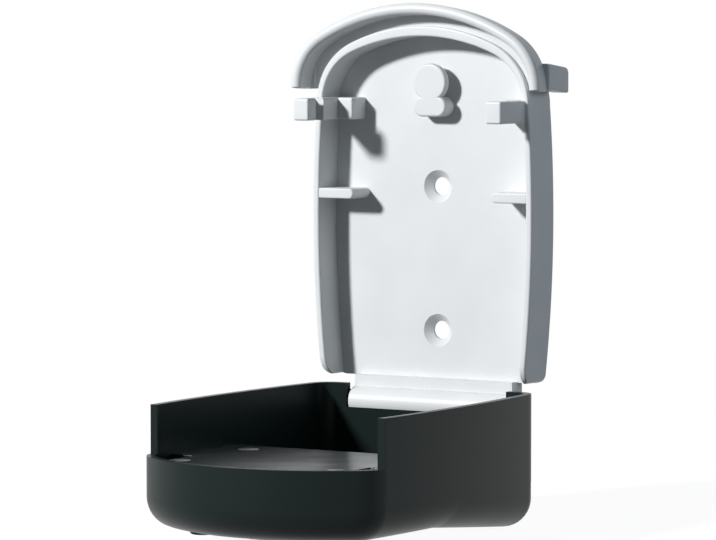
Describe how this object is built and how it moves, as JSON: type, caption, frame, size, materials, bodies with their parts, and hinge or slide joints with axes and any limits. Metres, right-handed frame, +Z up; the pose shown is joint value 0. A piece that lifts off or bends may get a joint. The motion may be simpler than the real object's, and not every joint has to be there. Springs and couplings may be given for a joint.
{
  "type": "combination key safe",
  "caption": "Wall key safe with an arched die-cast body, key hook and latch arms, and a deep hinged cover carrying a push button lock.",
  "frame": {"origin": "on the flat back face, on the centre line, between the two screw holes and the hook", "axes": "+Y out of the back face into the wall, +Z up, +X to the right seen from the front"},
  "size_m": [0.0718, 0.0981, 0.1282],
  "materials": {
    "cast_alloy": "satin",
    "black_shell": "satin",
    "gloss_black": "gloss",
    "button_black": "satin",
    "steel": "satin",
    "brass": "satin"
  },
  "bodies": {
    "body": {"body_casting": "cast_alloy", "hinge_pin": "steel"},
    "cover": {"cover_shell": "black_shell", "lock_back_plate": "gloss_black", "plate_screws": "steel", "bolt_guide": "brass", "return_spring_left": "steel", "return_spring_right": "steel"},
    "release": {"gate_plate": "steel", "release_tab": "black_shell", "tab_screw": "steel"},
    "left_bolt": {"latch_bolt_left": "steel"},
    "right_bolt": {"latch_bolt_right": "steel"},
    "key_1": {"button_1": "button_black"},
    "key_2": {"button_2": "button_black"},
    "key_3": {"button_3": "button_black"},
    "key_4": {"button_4": "button_black"},
    "key_5": {"button_5": "button_black"},
    "key_6": {"button_6": "button_black"},
    "key_7": {"button_7": "button_black"},
    "key_8": {"button_8": "button_black"},
    "key_9": {"button_9": "button_black"},
    "key_0": {"button_0": "button_black"}
  },
  "joints": [
    {"name": "cover_hinge", "type": "hinge", "parent": "body", "child": "cover", "pos_m": [0, -0.005, -0.0503], "axis": [-1, 0, 0], "range_deg": [0, 90]},
    {"name": "release_slide", "type": "slide", "parent": "cover", "child": "release", "axis": [0, -1, 0], "range_m": [0, 0.004]},
    {"name": "left_bolt_slide", "type": "slide", "parent": "cover", "child": "left_bolt", "axis": [-1, 0, 0], "range_m": [0, 0.003]},
    {"name": "right_bolt_slide", "type": "slide", "parent": "cover", "child": "right_bolt", "axis": [1, 0, 0], "range_m": [0, 0.003]},
    {"name": "key_1_press", "type": "slide", "parent": "cover", "child": "key_1", "axis": [0, 0, 1], "range_m": [0, 0.0018], "stiffness_N_per_m": 300, "springref_m": -0.001, "deforming": ["return_spring_left"]},
    {"name": "key_2_press", "type": "slide", "parent": "cover", "child": "key_2", "axis": [0, 0, 1], "range_m": [0, 0.0018], "stiffness_N_per_m": 300, "springref_m": -0.001, "deforming": ["return_spring_left"]},
    {"name": "key_3_press", "type": "slide", "parent": "cover", "child": "key_3", "axis": [0, 0, 1], "range_m": [0, 0.0018], "stiffness_N_per_m": 300, "springref_m": -0.001, "deforming": ["return_spring_left"]},
    {"name": "key_4_press", "type": "slide", "parent": "cover", "child": "key_4", "axis": [0, 0, 1], "range_m": [0, 0.0018], "stiffness_N_per_m": 300, "springref_m": -0.001, "deforming": ["return_spring_left"]},
    {"name": "key_5_press", "type": "slide", "parent": "cover", "child": "key_5", "axis": [0, 0, 1], "range_m": [0, 0.0018], "stiffness_N_per_m": 300, "springref_m": -0.001, "deforming": ["return_spring_left"]},
    {"name": "key_6_press", "type": "slide", "parent": "cover", "child": "key_6", "axis": [0, 0, 1], "range_m": [0, 0.0018], "stiffness_N_per_m": 300, "springref_m": -0.001, "deforming": ["return_spring_right"]},
    {"name": "key_7_press", "type": "slide", "parent": "cover", "child": "key_7", "axis": [0, 0, 1], "range_m": [0, 0.0018], "stiffness_N_per_m": 300, "springref_m": -0.001, "deforming": ["return_spring_right"]},
    {"name": "key_8_press", "type": "slide", "parent": "cover", "child": "key_8", "axis": [0, 0, 1], "range_m": [0, 0.0018], "stiffness_N_per_m": 300, "springref_m": -0.001, "deforming": ["return_spring_right"]},
    {"name": "key_9_press", "type": "slide", "parent": "cover", "child": "key_9", "axis": [0, 0, 1], "range_m": [0, 0.0018], "stiffness_N_per_m": 300, "springref_m": -0.001, "deforming": ["return_spring_right"]},
    {"name": "key_0_press", "type": "slide", "parent": "cover", "child": "key_0", "axis": [0, 0, 1], "range_m": [0, 0.0018], "stiffness_N_per_m": 300, "springref_m": -0.001, "deforming": ["return_spring_right"]}
  ],
  "couplings": [
    {"joint": "left_bolt_slide", "follows": "release_slide", "ratio": 0.75},
    {"joint": "right_bolt_slide", "follows": "release_slide", "ratio": 0.75}
  ]
}
